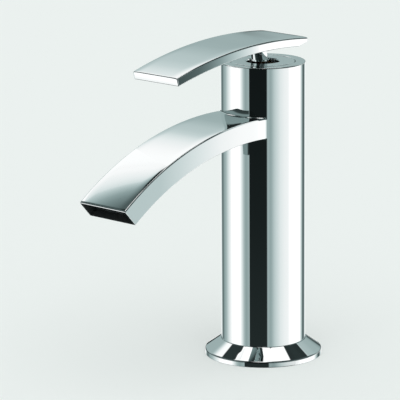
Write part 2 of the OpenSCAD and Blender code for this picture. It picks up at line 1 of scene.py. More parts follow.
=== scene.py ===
"""Basin mixer: the chrome skins, the parts inside, and the studio round them. Sizes are in millimetres."""

import math

import bpy
import numpy as np
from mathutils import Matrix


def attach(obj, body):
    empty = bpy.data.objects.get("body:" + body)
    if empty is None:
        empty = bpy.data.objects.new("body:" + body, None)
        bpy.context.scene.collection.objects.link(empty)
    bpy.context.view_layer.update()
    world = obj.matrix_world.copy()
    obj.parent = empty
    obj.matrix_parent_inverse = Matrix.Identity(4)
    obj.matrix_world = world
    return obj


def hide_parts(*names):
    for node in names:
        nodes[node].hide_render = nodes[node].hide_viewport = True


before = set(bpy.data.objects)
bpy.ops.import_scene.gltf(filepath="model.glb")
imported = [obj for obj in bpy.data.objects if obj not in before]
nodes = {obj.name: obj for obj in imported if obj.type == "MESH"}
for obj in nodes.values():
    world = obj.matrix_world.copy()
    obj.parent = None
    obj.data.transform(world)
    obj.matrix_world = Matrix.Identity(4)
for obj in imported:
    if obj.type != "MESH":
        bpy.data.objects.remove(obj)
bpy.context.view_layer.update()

# Base flange
# The flared ring that the column stands on, turned from brass bar, polished and chrome plated.
# Its foot has a groove for the gasket, and the hoses and the stud pull it down onto the deck.
mm = 0.001
flange_r = 32
flange_h = 9
flange_rim_h = 3
flange_lip = 0.5
ledge_h = 2.5
way_r = 17.5
column_r = 23
slip = 0.1
groove_in = 24
groove_out = 29
gasket_h = 1.5
flange_corners = [(way_r, 0), (groove_in, 0), (groove_in, gasket_h), (groove_out, gasket_h), (groove_out, 0),
                  (flange_r, 0), (flange_r, flange_rim_h), (column_r + slip + flange_lip, flange_h),
                  (column_r + slip, flange_h), (column_r + slip, ledge_h), (way_r, ledge_h)]
flange_rounds = [0.1, 0.1, 0.1, 0.1, 0.1, 0.3, 1.1, 0.15, 0.3, 0.1, 0.1]
hold_off = 0.04


def rounded(corners, radii, steps=6):
    """Closed outline through corners, each turned into an arc.
    With u and v the unit ways from a corner to its neighbours and h half the angle between them, the
    arc's centre lies r / sin(h) along the bisector and its ends r / tan(h) along u and v. The arc goes
    from one end's direction to the other's by sin((1 - k) t) and sin(k t) over sin(t). A holding point
    past each end keeps the flats flat."""
    corners = np.asarray(corners, float)
    r = np.asarray(radii, float)[:, None]
    u = np.roll(corners, 1, axis=0) - corners
    v = np.roll(corners, -1, axis=0) - corners
    u /= np.linalg.norm(u, axis=1, keepdims=True)
    v /= np.linalg.norm(v, axis=1, keepdims=True)
    half = np.arccos(np.clip((u * v).sum(1, keepdims=True), -1, 1)) / 2
    middle = (u + v) / np.linalg.norm(u + v, axis=1, keepdims=True)
    centre = corners + middle * r / np.sin(half)
    first = corners + u * r / np.tan(half)
    last = corners + v * r / np.tan(half)
    d0 = ((first - centre) / r)[:, None]
    d1 = ((last - centre) / r)[:, None]
    turn = (math.pi - 2 * half)[:, None]
    k = np.linspace(0, 1, steps + 1)[None, :, None]
    arc = centre[:, None] + r[:, None] * (np.sin((1 - k) * turn) * d0 + np.sin(k * turn) * d1) / np.sin(turn)
    held = (first + u * hold_off)[:, None], arc, (last + v * hold_off)[:, None]
    return np.concatenate(held, axis=1).reshape(-1, 2)


def about_axis(outline, a):
    """Carries an outline of (radius, height) to angles about Z: x = r cos(a), y = r sin(a), z = height."""
    r = outline[:, :1]
    return np.stack([r * np.cos(a), r * np.sin(a), outline[:, 1:] + 0 * a], axis=-1)


def turned(outline, steps=288):
    """Turns an outline about Z in even steps: a = 2 pi i / n."""
    return about_axis(outline, np.linspace(0, 2 * np.pi, steps, endpoint=False))


def woven(rows, columns, rows_close=True):
    """Quads of a grid of rows that close on themselves: (i, j), (i, j + 1), (i + 1, j + 1), (i + 1, j).
    With rows_close the last row joins the first."""
    i, j = np.meshgrid(np.arange(rows if rows_close else rows - 1), np.arange(columns), indexing="ij")
    i1 = (i + 1) % rows
    j1 = (j + 1) % columns
    quads = [i * columns + j, i * columns + j1, i1 * columns + j1, i1 * columns + j]
    return np.stack(quads, axis=-1).reshape(-1, 4)


def skin(name, points, quads, materials, marks=None, sharp_from=30):
    """A mesh object from points in millimetres and quads, smooth where faces meet at less than sharp_from
    degrees. marks gives each quad the number of its material."""
    mesh = bpy.data.meshes.new(name)
    mesh.from_pydata((points.reshape(-1, 3) * mm).tolist(), [], quads.tolist())
    mesh.polygons.foreach_set("use_smooth", np.ones(len(mesh.polygons), bool))
    mesh.set_sharp_from_angle(angle=math.radians(sharp_from))
    for material in materials:
        mesh.materials.append(material)
    if marks is not None:
        mesh.polygons.foreach_set("material_index", marks.astype(np.int32))
    made = bpy.data.objects.new(name, mesh)
    bpy.context.scene.collection.objects.link(made)
    return made


def finish_nodes(name):
    """A new material: its node tree, its shader and its Object coordinates."""
    material = bpy.data.materials.new(name)
    material.use_nodes = True
    tree = material.node_tree
    shader = tree.nodes["Principled BSDF"]
    place = tree.nodes.new("ShaderNodeTexCoord").outputs["Object"]
    return material, tree, shader, place


def grain(tree, place, scale, detail, stretch=(1, 1, 1)):
    """Noise in Object coordinates, with scale in cells to the metre, stretched along the axes."""
    mapping = tree.nodes.new("ShaderNodeMapping")
    mapping.inputs["Scale"].default_value = stretch
    noise = tree.nodes.new("ShaderNodeTexNoise")
    noise.inputs["Scale"].default_value = scale
    noise.inputs["Detail"].default_value = detail
    tree.links.new(place, mapping.inputs["Vector"])
    tree.links.new(mapping.outputs["Vector"], noise.inputs["Vector"])
    return noise.outputs["Fac"]


def spread(tree, value, low, high, socket, start=0.3, end=0.7):
    """Carries a pattern from start..end to low..high and links it to a socket."""
    span = tree.nodes.new("ShaderNodeMapRange")
    for key, number in (("From Min", start), ("From Max", end), ("To Min", low), ("To Max", high)):
        span.inputs[key].default_value = number
    tree.links.new(value, span.inputs["Value"])
    tree.links.new(span.outputs["Result"], socket)


def tinted(tree, value, dark, light, socket, start=0.3, end=0.7):
    """Carries a pattern from start..end to the colours dark..light and links it to a socket."""
    ramp = tree.nodes.new("ShaderNodeValToRGB")
    for stop, position, colour in zip(ramp.color_ramp.elements, (start, end), (dark, light)):
        stop.position = position
        stop.color = (*colour, 1)
    tree.links.new(value, ramp.inputs["Fac"])
    tree.links.new(ramp.outputs["Color"], socket)


def raised(tree, value, shader, strength, height):
    """Bump from a pattern, with its height in metres."""
    bump = tree.nodes.new("ShaderNodeBump")
    bump.inputs["Strength"].default_value = strength
    bump.inputs["Distance"].default_value = height
    tree.links.new(value, bump.inputs["Height"])
    tree.links.new(bump.outputs["Normal"], shader.inputs["Normal"])


def polished_chrome(name):
    """Bright plated chrome: a cool tint, faint wiping marks in the gloss and a hardly visible waviness."""
    material, tree, shader, place = finish_nodes(name)
    shader.inputs["Metallic"].default_value = 1
    tinted(tree, grain(tree, place, scale=35, detail=3), (0.90, 0.925, 0.925), (0.915, 0.935, 0.935),
           shader.inputs["Base Color"])
    wiped = grain(tree, place, scale=260, detail=4, stretch=(1, 1, 0.2))
    spread(tree, wiped, 0.012, 0.03, shader.inputs["Roughness"])
    raised(tree, grain(tree, place, scale=90, detail=1), shader, strength=0.03, height=0.00001)
    return material


chrome = polished_chrome("polished_chrome")
flange_points = turned(rounded(flange_corners, flange_rounds))
base_flange = skin("base_flange_skin", flange_points, woven(*flange_points.shape[:2]), [chrome])
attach(base_flange, "body")
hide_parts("base_flange")


# Deck gasket and the other rubber rings
# Black moulded rubber rings: the gasket lies in the base's groove, the others in grooves round the brass
# core, the block, the tubes, the cartridge and the cap.
def moulded_rubber(name):
    """Matt black rubber: fine mould grain in the colour, the gloss and the surface."""
    material, tree, shader, place = finish_nodes(name)
    shader.inputs["Specular IOR Level"].default_value = 0.35
    fine = grain(tree, place, scale=1800, detail=3)
    tinted(tree, fine, (0.014, 0.014, 0.015), (0.028, 0.028, 0.03), shader.inputs["Base Color"])
    spread(tree, fine, 0.55, 0.75, shader.inputs["Roughness"])
    raised(tree, fine, shader, strength=0.25, height=0.00003)
    return material


def dressed(names, material):
    """Gives kept solids their material."""
    for name in names:
        mesh = nodes[name].data
        mesh.materials.clear()
        mesh.materials.append(material)


dressed(["deck_gasket", "inlet_block_o_ring", "riser_o_rings", "seat_o_rings", "port_seals", "disc_seals",
         "cartridge_o_ring", "cap_o_ring", "straightener_seal"], moulded_rubber("moulded_rubber"))

# Column
# The upright tube, drawn from brass, bored at the top for the cap, cut at the front for the spout's
# tongue, and chrome plated. It stands on the base's ledge.
column_top = 163
column_in = 20.5
cap_seat_r = 17.6
cap_seat_z = 160.6
lip_r = 16.6
lip_z = 157.5
window_half = 12.1
window_low = 125.5
window_high = 132.5
window_hold = 0.05
window_steps = 56
round_steps = 264


def columned(outline):
    """Turns an outline about Z with two of its columns in the planes x = -w and x = w.
    In a row of radius r these stand at asin(w / r) to each side of -Y, and the others share out the
    two arcs between them evenly."""
    w = np.arcsin(window_half / outline[:, :1])
    across = np.linspace(-1, 1, window_steps, endpoint=False)[None] * w
    around = w + np.linspace(0, 1, round_steps, endpoint=False)[None] * (2 * np.pi - 2 * w)
    return about_axis(outline, np.concatenate([across, around], axis=1) - np.pi / 2)


column_corners = [(column_in, ledge_h), (column_r, ledge_h), (column_r, column_top), (cap_seat_r, column_top),
                  (cap_seat_r, cap_seat_z), (lip_r, cap_seat_z), (lip_r, lip_z), (column_in, lip_z)]
column_rounds = [0.1, 0.1, 0.55, 0.5, 0.1, 0.1, 0.1, 0.1]
column_profile = rounded(column_corners, column_rounds)
window_levels = np.array([window_low - window_hold, window_low, window_high, window_high + window_hold])
outer_rows = [(column_r, z) for z in window_levels]
inner_rows = [(column_in, z) for z in window_levels[::-1]]
outer_row = 2 * len(column_profile) // len(column_corners)
inner_row = len(column_profile) + len(outer_rows)
column_points = columned(np.concatenate([
    column_profile[:outer_row], outer_rows, column_profile[outer_row:], inner_rows]))
column_steps = column_points.shape[1]
column_quads = woven(*column_points.shape[:2])
row_of = column_quads[:, 0] // column_steps
at_window = column_quads[:, 0] % column_steps < window_steps
hole = at_window & ((row_of == outer_row + 1) | (row_of == inner_row + 1))
outer_low = (outer_row + 1) * column_steps + np.arange(window_steps + 1)
outer_high = outer_low + column_steps
inner_high = (inner_row + 1) * column_steps + np.arange(window_steps + 1)
inner_low = inner_high + column_steps
window_walls = np.concatenate([
    np.stack([outer_low[:-1], outer_low[1:], inner_low[1:], inner_low[:-1]], axis=1),
    np.stack([outer_high[1:], outer_high[:-1], inner_high[:-1], inner_high[1:]], axis=1),
    [[outer_high[0], outer_low[0], inner_low[0], inner_high[0]],
     [outer_low[-1], outer_high[-1], inner_high[-1], inner_low[-1]]]])
column = skin("column_skin", column_points, np.concatenate([column_quads[~hole], window_walls]), [chrome])
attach(column, "body")
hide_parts("column_shell")

# Spout
# A flat arched spout, cast hollow in brass and chrome plated, with a tongue that sits in the column's
# window and is brazed there. Its mouth is cut back at a slant, and its unplated waterway has painted shade.
spout_half = 16.5
spout_top_c = (23, -37)
spout_top_r = 173
spout_low_c = (23, -36.3)
spout_low_r = 161
tip_s = 124
mouth_slope = math.tan(math.radians(43))
mouth_lip = 1
lip_edge = 0.2
lip_steps = 10
arris = 0.8
under_arris = 0.5
crown_h = 0.12
crown_w = 6
mouth_round = (1.2, 0.9)
mouth_round_beside = 0.25
root_fillet = 0.6
spout_wall = 2.2
recess = 11.3
recess_start = 0.004
recess_steps = 12
window_z = 129
tongue_half = 12
tongue_up = 3.3
tongue_edge = 0.1
passage_half = 10.5
passage_up = 2
root_wall = 2
spout_steps = 130
waterway_steps = 50
face_steps = 28
corner_steps = 9


def half_section(half, corner, crown):
    """One face of a flat bar from left to right. A point has its x and its offset b from the face.
    Polishing leaves a face crowned: b = c (1 - u^3), with u from 0 to 1 over the last w millimetres, down to
    the slope 3 c / w = tan(t0). Its corner goes on from there: x = a + r sin(t), b = r (cos(t) - cos(t0))."""
    t0 = math.atan(3 * crown / crown_w)
    t = np.linspace(t0, np.pi / 2, corner_steps)
    edge = half - corner + corner * math.sin(t0)
    flat = np.linspace(edge / face_steps, edge - hold_off, face_steps)
    u = np.clip((flat - edge + crown_w) / crown_w, 0, 1)
    x = np.concatenate([flat, half - corner + corner * np.sin(t), [half]])
    b = np.concatenate([crown * (1 - u ** 3), corner * (np.cos(t) - math.cos(t0)), [-corner - hold_off]])
    return np.concatenate([-x[::-1], x]), np.concatenate([b[::-1], b])


def section(half, corner, under=None, crown=0.0):
    """Outline of a flat bar: from left to right over the top, and back along the underside.
    The arrises of the underside may be rounded otherwise. upper tells which face a point belongs to."""
    over_x, over_b = half_section(half, corner, crown)
    under_x, under_b = half_section(half, corner if under is None else under, 0)
    upper = np.concatenate([np.ones(len(over_x), bool), np.zeros(len(under_x), bool)])
    return np.concatenate([over_x, under_x[::-1]]), np.concatenate([over_b, -under_b[::-1]]), upper


def arch(s, centre, radius):
    """Height of an arc over the distance s in front of the axis: c + sqrt(r^2 - (s - c)^2)."""
    return centre[1] + np.sqrt(radius ** 2 - (s - centre[0]) ** 2)


def spout_height(s, upper, b, inset):
    """Height on the spout's upper or lower face, drawn in by inset, plus the corner's offset."""
    top = arch(s, spout_top_c, spout_top_r - inset)
    low = arch(s, spout_low_c, spout_low_r + inset)
    return np.where(upper, top, low) + b


def cut_by(height, start, point, slope, repeats=60):
    """Distance s at which a face meets a slanting plane: s = s0 + slope (height(s) - z0), by repetition."""
    s = np.full_like(start, point[0], dtype=float)
    for _ in range(repeats):
        s = point[0] + slope * (height(s) - point[1])
    return s


def spout_ring(half, corner, inset, end, under=None, crown=0.0):
    """One loop round the spout, on the mouth's cut, on the recess's floor, or on a cylinder about the axis,
    where s = sqrt(r^2 - x^2)."""
    x, b, upper = section(half, corner, under, crown)

    def height(s):
        return spout_height(s, upper, b, inset)

    if end == "mouth":
        s = cut_by(height, x, tip, mouth_slope)
    elif end == "recess":
        s = cut_by(height, x, recess_point, math.tan(flow_angle))
    else:
        s = np.sqrt(end ** 2 - x ** 2)
    return x, s, b, upper


def run(one, other, inset, steps):
    """Loops from one end to the other: s = s1 + t (s2 - s1), with the height of the spout's faces."""
    t = np.asarray(steps)[:, None]
    x, s1, b, upper = one
    s = s1 + t * (other[1] - s1)
    return np.stack([x + 0 * s, -s, spout_height(s, upper, b, inset)], axis=-1)


def loop(one, inset):
    """The loop at one end, as run gives it at t = 0."""
    return run(one, one, inset, [0])


def flat_ring(half, up, radius):
    """A loop of the tongue or its passage, where it meets a cylinder about the axis:
    y = -sqrt(r^2 - x^2), z = middle + or - half the height, plus the corner's offset."""
    x, b, upper = section(half, tongue_edge)
    z = window_z + np.where(upper, up, -up) + b
    return np.stack([x, -np.sqrt(radius ** 2 - x ** 2), z], axis=-1)[None]


def eased(one, corner, other, steps=5):
    """Rounds an arris between two loops: (1 - k)^2 A + 2 k (1 - k) B + k^2 C."""
    k = np.linspace(0, 1, steps + 1)[:, None, None]
    return (1 - k) ** 2 * one + 2 * k * (1 - k) * corner + k ** 2 * other


tip = (tip_s, float(arch(tip_s, spout_top_c, spout_top_r)))
heel_s = float(cut_by(lambda s: arch(s, spout_low_c, spout_low_r), np.array([0.0]), tip, mouth_slope)[0])
heel = (heel_s, float(arch(heel_s, spout_low_c, spout_low_r)))
flow_angle = math.asin((heel_s - spout_low_c[0]) / spout_low_r)
recess_point = (heel[0] - recess * math.cos(flow_angle), heel[1] + recess * math.sin(flow_angle))
root_foot = spout_ring(spout_half + root_fillet, arris + root_fillet, -root_fillet, column_r,
                       under_arris + root_fillet, crown_h)
root_corner = spout_ring(spout_half, arris, 0, column_r, under_arris, crown_h)
outer_root = spout_ring(spout_half, arris, 0, column_r + root_fillet, under_arris, crown_h)
outer_mouth = spout_ring(spout_half, arris, 0, "mouth", under_arris, crown_h)
_, mouth_b, mouth_upper = section(spout_half, arris, under_arris, crown_h)
over_mouth = np.clip(1 + mouth_b / arris, 0, 1) * mouth_upper
back_off = mouth_round_beside + over_mouth * (mouth_round[0] - mouth_round_beside)
lip_drop = mouth_round_beside + over_mouth * (mouth_round[1] - mouth_round_beside)
lip_out = spout_ring(spout_half - mouth_round_beside, arris - lip_edge, lip_drop, "mouth",
                     under_arris - lip_edge, crown_h)
lip_in = spout_ring(spout_half - mouth_lip, lip_edge, mouth_lip, "mouth")
pocket_end = spout_ring(spout_half - mouth_lip, lip_edge, mouth_lip, "recess")
water_start = spout_ring(spout_half - spout_wall, lip_edge, spout_wall, "recess")
water_end = spout_ring(spout_half - spout_wall, lip_edge, spout_wall, column_r + root_wall)
flared = eased(loop(root_foot, -root_fillet), loop(root_corner, 0), loop(outer_root, 0))[:-1]
mouth_back = (outer_mouth[0], outer_mouth[1] - back_off) + outer_mouth[2:]
outside = np.concatenate([flared, run(outer_root, mouth_back, 0, np.linspace(0, 1, spout_steps))])
mouth_arris = eased(outside[-1:], loop(outer_mouth, 0), loop(lip_out, lip_drop), lip_steps)[1:]
pocket = run(lip_in, pocket_end, mouth_lip, np.linspace(recess_start, 1, recess_steps))
waterway = run(water_start, water_end, spout_wall, np.linspace(0, 1, waterway_steps))
spout_points = np.concatenate([
    outside, mouth_arris, loop(lip_in, mouth_lip), pocket, waterway,
    flat_ring(passage_half, passage_up, column_r + root_wall), flat_ring(passage_half, passage_up, column_in),
    flat_ring(tongue_half, tongue_up, column_in), flat_ring(tongue_half, tongue_up, column_r)])


def casting_with_painted_shade(name):
    """Unplated brass casting with painted shade: the shade inside the waterway painted in as a near-black
    bluish grey, with random blotches and a sandy surface.
    """
    material, tree, shader, place = finish_nodes(name)
    shader.inputs["Metallic"].default_value = 0.4
    # Painted shade: the dark of the waterway's inside is painted into this near-black bluish grey.
    tinted(tree, grain(tree, place, scale=300, detail=4), (0.032, 0.039, 0.04), (0.052, 0.06, 0.06),
           shader.inputs["Base Color"])
    spread(tree, grain(tree, place, scale=900, detail=3), 0.55, 0.8, shader.inputs["Roughness"])
    raised(tree, grain(tree, place, scale=1400, detail=3), shader, strength=0.3, height=0.00008)
    return material


spout_quads = woven(*spout_points.shape[:2])
inside = spout_quads[:, 0] // spout_points.shape[1] >= len(outside) + len(mouth_arris)
# The spout's inside faces wear the casting with painted shade.
spout = skin("spout_skin", spout_points, spout_quads, [chrome, casting_with_painted_shade("casting_with_painted_shade")], inside)
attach(spout, "body")
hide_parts("spout_shell")


# Insert in the mouth
# A black moulded flow straightener with square cells, and a woven wire screen behind it. Both push into
# the mouth's recess with a rubber seal behind them.
def moulded_plastic(name, dark, light, rough, rougher=0.12):
    """Moulded plastic: slight clouds in the colour, a fine mould grain and a soft gloss."""
    material, tree, shader, place = finish_nodes(name)
    tinted(tree, grain(tree, place, scale=220, detail=3), dark, light, shader.inputs["Base Color"])
    spread(tree, grain(tree, place, scale=1500, detail=2), rough, rough + rougher, shader.inputs["Roughness"])
    raised(tree, grain(tree, place, scale=2600, detail=2), shader, strength=0.15, height=0.00002)
    return material


def drawn_metal(name, dark, light, rough, rougher=0.15):
    """Drawn or brushed metal: lines along Z in the gloss and the surface, and a slightly uneven colour."""
    material, tree, shader, place = finish_nodes(name)
    shader.inputs["Metallic"].default_value = 1
    lines = grain(tree, place, scale=900, detail=3, stretch=(1, 1, 0.03))
    tinted(tree, grain(tree, place, scale=120, detail=3), dark, light, shader.inputs["Base Color"])
    spread(tree, lines, rough, rough + rougher, shader.inputs["Roughness"])
    raised(tree, lines, shader, strength=0.12, height=0.00002)
    return material


dressed(["flow_straightener"],
        moulded_plastic("black_plastic", (0.028, 0.035, 0.037), (0.04, 0.048, 0.05), 0.4))
dressed(["straightener_screen"], drawn_metal("wire", (0.5, 0.5, 0.49), (0.62, 0.62, 0.6), 0.25))


# Brass core, inlet block and nut
# Turned from brass bar and left bare: the core holds the cartridge and feeds the spout, the block takes the
# hoses and the stud, and the nut screws down on the cartridge.
def turned_brass(name):
    """Bare turned brass: tool marks as rings about Z, and clouds of light tarnish."""
    material, tree, shader, place = finish_nodes(name)
    shader.inputs["Metallic"].default_value = 1
    rings = tree.nodes.new("ShaderNodeTexWave")
    rings.wave_type = "RINGS"
    rings.rings_direction = "Z"
    rings.inputs["Scale"].default_value = 1100
    rings.inputs["Distortion"].default_value = 1.5
    tree.links.new(place, rings.inputs["Vector"])
    tinted(tree, grain(tree, place, scale=90, detail=4), (0.66, 0.46, 0.17), (0.78, 0.57, 0.25),
           shader.inputs["Base Color"])
    spread(tree, grain(tree, place, scale=500, detail=3), 0.2, 0.38, shader.inputs["Roughness"])
    raised(tree, rings.outputs["Fac"], shader, strength=0.12, height=0.00003)
    return material


dressed(["cartridge_seat", "inlet_block", "retaining_nut"], turned_brass("turned_brass"))

# Riser tubes and washer
# Copper: the tubes carry hot and cold water from the block to the core, pushed into their ringed sockets,
# and the washer lets the nut turn on the cartridge.
dressed(["hot_riser_tube", "cold_riser_tube", "thrust_washer"],
        drawn_metal("drawn_copper", (0.72, 0.36, 0.22), (0.84, 0.45, 0.29), 0.22))

# Spindle and pin
# The spindle is machined from brass and the pin is ground steel. The lever's boss slides on the spindle's
# square, and the pin is pressed into the rotor.
dressed(["spindle"], drawn_metal("bright_brass", (0.7, 0.5, 0.2), (0.8, 0.6, 0.28), 0.18))
dressed(["pivot_pin"], drawn_metal("ground_steel", (0.52, 0.53, 0.55), (0.62, 0.63, 0.65), 0.15))

# Cartridge
# Moulded plastic parts round two ground ceramic discs: a white base and housing, a grey rotor, a blue
# carrier and a red ring that limits the swing.
dressed(["cartridge_base", "cartridge_housing"],
        moulded_plastic("white_plastic", (0.74, 0.74, 0.72), (0.8, 0.8, 0.78), 0.35))
dressed(["spindle_rotor"], moulded_plastic("grey_plastic", (0.2, 0.21, 0.22), (0.26, 0.27, 0.28), 0.35))
dressed(["disc_carrier"], moulded_plastic("blue_plastic", (0.12, 0.24, 0.46), (0.16, 0.29, 0.52), 0.35))
dressed(["limit_ring"], moulded_plastic("red_plastic", (0.07, 0.008, 0.007), (0.1, 0.012, 0.01), 0.5))


def ground_ceramic(name):
    """Ground ceramic: off-white with a fine speckle, and glossy."""
    material, tree, shader, place = finish_nodes(name)
    tinted(tree, grain(tree, place, scale=2200, detail=4), (0.78, 0.76, 0.7), (0.88, 0.86, 0.81),
           shader.inputs["Base Color"])
    spread(tree, grain(tree, place, scale=400, detail=2), 0.12, 0.25, shader.inputs["Roughness"])
    return material


dressed(["fixed_ceramic_disc", "moving_ceramic_disc"], ground_ceramic("ground_ceramic"))

# Top cap
# A chrome plated brass disc, let into the column's top flush with its rim. Its skirt has the ring that
# holds it, and the lever's boss moves in its bevelled hole.
cap_r = 17.3
hole_r = 9
hole_bevel = 0.6
skirt_in = 13.9
skirt_r = 16.5
skirt_z = 156.4
groove_r = 15.4
groove_low = 158.3
groove_high = 159.8
cap_corners = [(hole_r, cap_seat_z), (skirt_in, cap_seat_z), (skirt_in, skirt_z), (skirt_r, skirt_z),
               (skirt_r, groove_low), (groove_r, groove_low), (groove_r, groove_high), (skirt_r, groove_high),
               (skirt_r, cap_seat_z), (cap_r, cap_seat_z), (cap_r, column_top),
               (hole_r + hole_bevel, column_top), (hole_r, column_top - hole_bevel)]
cap_rounds = [0.1, 0.1, 0.1, 0.1, 0.05, 0.05, 0.05, 0.05, 0.05, 0.1, 0.5, 0.1, 0.1]
cap_points = turned(rounded(cap_corners, cap_rounds))
top_cap = skin("top_cap_skin", cap_points, woven(*cap_points.shape[:2]), [chrome])
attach(top_cap, "body")
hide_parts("top_cap")

# Lever
# A flat arched plate with a round boss brazed under it, cast in brass and chrome plated. A grub screw at
# the back of the boss holds it on the spindle's square.
lever_half = 17
lever_front_half = 16
lever_top_c = (12, -81.9)
lever_low_c = (12, -90.8)
lever_top_r = 259
lever_low_r = 263
lever_front = 84
lever_back = -17.5
relief_end = -10.5
relief_h = 2.4
lever_round = 0.6
lever_crown = 0.17
lever_steps = 120
front_slope = math.tan(math.asin((lever_front - lever_top_c[0]) / lever_top_r))


def under_lever(s):
    """Height of the lever's underside: its arc, and behind the relief's end a straight slope up."""
    arc = arch(s, lever_low_c, lever_low_r)
    start = arch(relief_end, lever_low_c, lever_low_r)
    end = arch(lever_back, lever_low_c, lever_low_r) + relief_h
    slope = (end - start) / (lever_back - relief_end)
    return np.where(s < relief_end, start + (s - relief_end) * slope, arc)


def lever_height(s, upper, b):
    """Height on the lever's upper or lower face plus the corner's offset."""
    return np.where(upper, arch(s, lever_top_c, lever_top_r), under_lever(s)) + b


def narrowed(x, s):
    """Narrows a width to the front: x (w1 + (w2 - w1) (s - s1) / (s2 - s1)) / w1."""
    narrowing = (lever_front_half - lever_half) * (s - lever_back) / (lever_front - lever_back)
    return x * (lever_half + narrowing) / lever_half


def lever_loop(drawn_in, at_front, back_off=0.0):
    """One loop round an end of the lever: its outline drawn in on the end's plane, or set back from it.
    The back's plane is upright, and the front's stands square to the lever's top."""
    x, b, upper = section(lever_half - drawn_in, arris, under_arris, lever_crown)
    b = b + np.where(upper, -drawn_in, drawn_in)
    if at_front:
        point = (lever_front, float(arch(lever_front, lever_top_c, lever_top_r)))
        s = cut_by(lambda s: lever_height(s, upper, b), x, point, front_slope) - back_off
    else:
        s = np.full_like(x, lever_back + back_off)
    return np.stack([narrowed(x, s), -s, lever_height(s, upper, b)], axis=-1)[None]


def capped(points):
    """Quads of a tube of loops with n points each, closed at both ends: there point j joins its mirror
    image n - 1 - j."""
    rows, columns = points.shape[:2]
    j = np.arange(columns // 2 - 1)
    end = (rows - 1) * columns
    back = np.stack([j, columns - 1 - j, columns - 2 - j, j + 1], axis=1)
    front = np.stack([end + j, end + j + 1, end + columns - 2 - j, end + columns - 1 - j], axis=1)
    return np.concatenate([woven(rows, columns, False), back, front])


back_start = lever_loop(0, False, lever_round)
front_start = lever_loop(0, True, lever_round)
lever_x, lever_b, lever_upper = section(lever_half, arris, under_arris, lever_crown)
back_s = -back_start[0, :, 1]
front_s = -front_start[0, :, 1]
relief_at = (relief_end - back_s.mean()) / (front_s.mean() - back_s.mean())
lever_shares = np.sort(np.concatenate([np.linspace(0, 1, lever_steps)[1:-1], [relief_at]]))[:, None]
lever_s = back_s + lever_shares * (front_s - back_s)
lever_z = lever_height(lever_s, lever_upper, lever_b)
between = np.stack([narrowed(lever_x, lever_s), -lever_s, lever_z], axis=-1)
back_round = eased(back_start, lever_loop(0, False), lever_loop(lever_round, False))
front_round = eased(front_start, lever_loop(0, True), lever_loop(lever_round, True))
lever_points = np.concatenate([back_round[::-1], between, front_round])
lever = skin("lever_skin", lever_points, capped(lever_points), [chrome])
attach(lever, "lever")
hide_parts("lever_handle")

# Lever boss and its grub screw
# The boss is turned from brass and plated with the lever. It leans forward with the spindle, and its square
# socket sits on it. A black steel screw, in a hole drilled from behind, holds it.
pivot_z = 151.8
lean = math.radians(12.5)
boss_r = 4.6
boss_foot = 7.5
boss_head = 23.4
boss_round = [(0.3, 0), (0.26, 0), (0.1, 0.1), (0, 0.3), (0, 0.34)]
socket_half = 2.55
socket_head = 20.6
grub_up = 17.1
grub_r = 2
grub_hole = (1.0, 7.0)
boss_steps = 96
drill_steps = 48
boss_turn = np.linspace(0, 2 * np.pi, boss_steps, endpoint=False)
drill_turn = np.linspace(0, 2 * np.pi, drill_steps, endpoint=False)


def leaned(across, fore, up):
    """Leans points drawn round the pivot: y = f cos(l) - u sin(l), z = pivot + f sin(l) + u cos(l)."""
    y = fore * math.cos(lean) - up * math.sin(lean)
    z = pivot_z + fore * math.sin(lean) + up * math.cos(lean)
    return np.stack(np.broadcast_arrays(across, y, z), axis=-1)


def boss_ring(reach, up):
    """A loop about the leaning axis: across = r sin(a), fore = -r cos(a)."""
    return leaned(reach * np.sin(boss_turn), -reach * np.cos(boss_turn), up)[None]


square = socket_half / np.maximum(np.abs(np.cos(boss_turn)), np.abs(np.sin(boss_turn)))
boss_points = np.concatenate([
    boss_ring(square, socket_head), boss_ring(square, boss_foot),
    *[boss_ring(boss_r - inset, boss_foot + rise) for inset, rise in boss_round],
    boss_ring(boss_r, boss_head)])
boss = skin("lever_boss", boss_points, capped(boss_points), [chrome])
drill_points = np.stack([leaned(grub_r * np.cos(drill_turn), depth, grub_up + grub_r * np.sin(drill_turn))
                         for depth in grub_hole])
drill = skin("drill", drill_points, capped(drill_points), [chrome])
cut = boss.modifiers.new("screw_hole", "BOOLEAN")
cut.operation = "DIFFERENCE"
cut.solver = "EXACT"
cut.object = drill
bpy.context.view_layer.update()
cut_mesh = bpy.data.meshes.new_from_object(boss.evaluated_get(bpy.context.evaluated_depsgraph_get()))
boss.modifiers.clear()
boss.data = cut_mesh
bpy.data.objects.remove(drill)
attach(boss, "lever")
dressed(["lever_grub_screw"], drawn_metal("black_steel", (0.05, 0.05, 0.055), (0.08, 0.08, 0.085), 0.3))

# Camera
# It stands in front of the mixer to its right, a little above it, far off with a long lens. Its place,
# turns and lens are fitted to the photo's outlines.
camera_at = 41.987
camera_turn = 1.225
camera_pitch = 13.002
camera_roll = -0.372
camera_far = 1607.6
camera_high = 457.2
camera_lens = 272.47
at = math.radians(camera_at)
turn_to = math.radians(camera_at + camera_turn)
pitch = math.radians(camera_pitch)
roll = math.radians(camera_roll)
ahead = np.array([-math.sin(turn_to), math.cos(turn_to), 0])
right = np.array([math.cos(turn_to), math.sin(turn_to), 0])
forward = math.cos(pitch) * ahead - math.sin(pitch) * np.array([0, 0, 1])
up = np.cross(right, forward)
camera_x = math.cos(roll) * right + math.sin(roll) * up
camera_y = math.cos(roll) * up - math.sin(roll) * right
placed = np.eye(4)
placed[:3, 0] = camera_x
placed[:3, 1] = camera_y
placed[:3, 2] = -forward
placed[:3, 3] = np.array([camera_far * math.sin(at), -camera_far * math.cos(at), camera_high]) * mm
camera_data = bpy.data.cameras.new("camera")
camera_data.lens = camera_lens
camera_data.sensor_width = 36
camera_data.clip_end = 100
camera = bpy.data.objects.new("camera", camera_data)
camera.matrix_world = placed.T.tolist()
bpy.context.scene.collection.objects.link(camera)
bpy.context.scene.camera = camera

